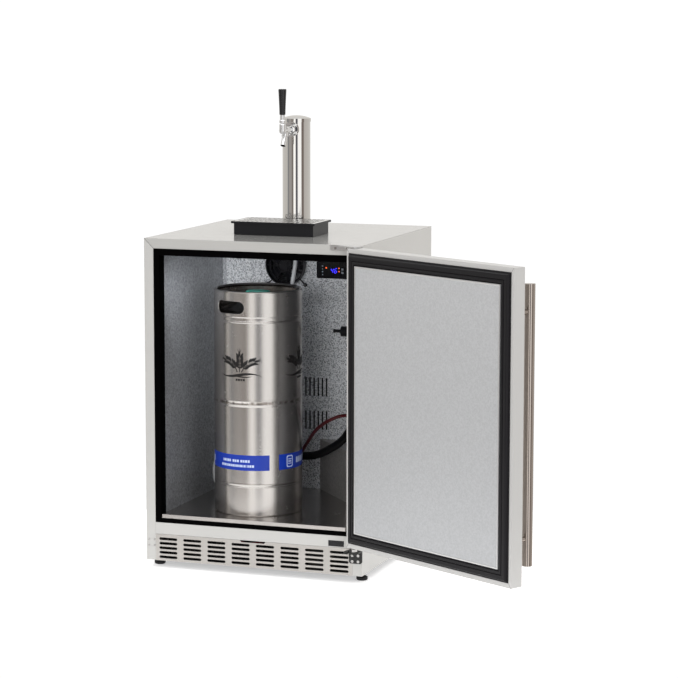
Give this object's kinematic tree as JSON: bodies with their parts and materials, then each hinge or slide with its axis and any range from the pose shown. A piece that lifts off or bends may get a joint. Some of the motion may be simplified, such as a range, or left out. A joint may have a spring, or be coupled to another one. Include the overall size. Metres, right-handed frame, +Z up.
{
  "type": "kegerator",
  "caption": "Freestanding kegerator: insulated cabinet with hinged door, beer tower with lever tap, drip tray, keg, gas bottle, hoses and cooling unit.",
  "frame": {"origin": "on the floor, under the centre of the cabinet body (door not counted)", "axes": "+Z up, the cabinet opens towards -Y, +X to the right seen from the front"},
  "size_m": [1.1224, 0.9267, 1.2592],
  "materials": {
    "cabinet_paint": "satin warm grey",
    "galvanised": "plain sheet",
    "foam": "rigid foam",
    "black_plastic": "fine texture",
    "brushed_steel": "brushed",
    "polished_steel": "polished",
    "stucco": "stucco embossed",
    "dark_steel": "polished dark",
    "controller_plastic": "gloss",
    "keys": "satin",
    "black_metal": "black paint",
    "screws": "zinc",
    "inner_panel": "stucco white grey",
    "seal": "ribbed",
    "bushing": "nylon",
    "keg_steel": "drawn steel",
    "cap_teal": "satin",
    "bottle": "brushed",
    "regulator_mix": "brass and black paint",
    "beer_vinyl": "clear vinyl",
    "red_hose": "gloss",
    "black_hose": "satin",
    "machine": "black paint",
    "blades": "satin"
  },
  "bodies": {
    "cabinet": {"side_panel_left": "cabinet_paint", "side_panel_right": "cabinet_paint", "top_panel": "cabinet_paint", "back_panel": "cabinet_paint", "base_pan": "galvanised", "insulation": "foam", "breaker_frame": "black_plastic", "front_rail": "cabinet_paint", "kick_grille": "brushed_steel", "cavity_floor": "dark_steel", "liner": "stucco", "compressor_cover": "stucco", "evaporator_cover": "stucco", "evaporator_coil": "galvanised", "evaporator_fan_frame": "black_plastic", "controller_case": "controller_plastic", "door_sensor": "black_plastic", "hinge_bracket_upper": "polished_steel", "hinge_bracket_lower": "black_metal", "fasteners": "screws", "tower_column": "polished_steel", "tower_cap": "polished_steel", "tower_mount": "galvanised", "shank": "polished_steel", "faucet_body": "polished_steel", "gas_bottle": "bottle", "regulator": "regulator_mix", "keg_coupler": "brushed_steel", "beer_line": "beer_vinyl", "gas_hose": "red_hose", "air_hose": "black_hose", "condensing_unit": "machine", "condenser_fan_frame": "black_plastic", "power_inlet": "black_plastic"},
    "evaporator_fan": {"evaporator_fan_blade": "blades"},
    "condenser_fan": {"condenser_fan_blade": "blades"},
    "up_key": {"button_up": "keys"},
    "down_key": {"button_down": "keys"},
    "set_key": {"button_set": "keys"},
    "door": {"door_skin": "cabinet_paint", "door_foam": "foam", "door_inner_panel": "inner_panel", "door_gasket": "seal", "door_handle": "brushed_steel", "door_bushings": "bushing"},
    "front_left_foot": {"foot_front_left": "black_plastic"},
    "front_right_foot": {"foot_front_right": "black_plastic"},
    "rear_left_foot": {"foot_rear_left": "black_plastic"},
    "rear_right_foot": {"foot_rear_right": "black_plastic"},
    "tap_plunger": {"faucet_plunger": "polished_steel"},
    "tap_lever": {"faucet_lever": "polished_steel", "tap_handle": "black_plastic"},
    "tray": {"drip_tray": "black_plastic"},
    "grid": {"drip_grid": "brushed_steel"},
    "keg": {"keg_shell": "keg_steel", "keg_valve": "keg_steel"},
    "dust_cap": {"keg_cap": "cap_teal"},
    "bottle_valve_knob": {"bottle_knob": "black_plastic"},
    "regulator_adjuster": {"regulator_knob": "black_plastic"},
    "coupler_lever": {"coupler_handle": "black_plastic"}
  },
  "joints": [
    {"name": "door_hinge", "type": "hinge", "parent": "cabinet", "child": "door", "pos_m": [0.29, -0.32, 0], "axis": [0, 0, 1], "range_deg": [-150, 20]},
    {"name": "evaporator_fan_spin", "type": "hinge", "parent": "cabinet", "child": "evaporator_fan", "pos_m": [-0.077, 0.162, 0.768], "axis": [0, 1, 0], "continuous": true},
    {"name": "condenser_fan_spin", "type": "hinge", "parent": "cabinet", "child": "condenser_fan", "pos_m": [0.04, -0.223, 0.068], "axis": [0, 1, 0], "continuous": true},
    {"name": "up_key_press", "type": "slide", "parent": "cabinet", "child": "up_key", "axis": [0, 1, 0], "range_m": [0, 0.0008], "stiffness_N_per_m": 600},
    {"name": "down_key_press", "type": "slide", "parent": "cabinet", "child": "down_key", "axis": [0, 1, 0], "range_m": [0, 0.0008], "stiffness_N_per_m": 600},
    {"name": "set_key_press", "type": "slide", "parent": "cabinet", "child": "set_key", "axis": [0, 1, 0], "range_m": [0, 0.0008], "stiffness_N_per_m": 600},
    {"name": "front_left_foot_height", "type": "slide", "parent": "cabinet", "child": "front_left_foot", "axis": [0, 0, -1], "range_m": [0, 0.02]},
    {"name": "front_right_foot_height", "type": "slide", "parent": "cabinet", "child": "front_right_foot", "axis": [0, 0, -1], "range_m": [0, 0.02]},
    {"name": "rear_left_foot_height", "type": "slide", "parent": "cabinet", "child": "rear_left_foot", "axis": [0, 0, -1], "range_m": [0, 0.02]},
    {"name": "rear_right_foot_height", "type": "slide", "parent": "cabinet", "child": "rear_right_foot", "axis": [0, 0, -1], "range_m": [0, 0.02]},
    {"name": "tap_lever_pull", "type": "hinge", "parent": "cabinet", "child": "tap_lever", "pos_m": [0, -0.066, 1.163], "axis": [1, 0, 0], "range_deg": [0, 25]},
    {"name": "tap_plunger_slide", "type": "slide", "parent": "cabinet", "child": "tap_plunger", "axis": [0, -1, 0], "range_m": [0, 0.0032]},
    {"name": "tray_lift", "type": "slide", "parent": "cabinet", "child": "tray", "axis": [0, 0, 1], "range_m": [0, 0.05]},
    {"name": "grid_lift", "type": "slide", "parent": "tray", "child": "grid", "axis": [0, 0, 1], "range_m": [0, 0.03]},
    {"name": "keg_slide", "type": "slide", "parent": "cabinet", "child": "keg", "axis": [0, -1, 0], "range_m": [0, 0.45]},
    {"name": "dust_cap_lift", "type": "slide", "parent": "keg", "child": "dust_cap", "axis": [0, 0, 1], "range_m": [0, 0.04]},
    {"name": "bottle_valve_turn", "type": "hinge", "parent": "cabinet", "child": "bottle_valve_knob", "pos_m": [0.196, 0.105, 0.616], "axis": [0, 0, 1], "range_deg": [-360, 0]},
    {"name": "regulator_adjust", "type": "hinge", "parent": "cabinet", "child": "regulator_adjuster", "pos_m": [0.15, 0.105, 0.575], "axis": [0, 0, 1], "range_deg": [-360, 360]},
    {"name": "coupler_lever_press", "type": "hinge", "parent": "cabinet", "child": "coupler_lever", "pos_m": [-0.03, 0.042, 0.2033], "axis": [1, 0, 0], "range_deg": [0, 35]}
  ],
  "couplings": [
    {"joint": "tap_plunger_slide", "follows": "tap_lever_pull", "m_per_rad": 0.007}
  ]
}
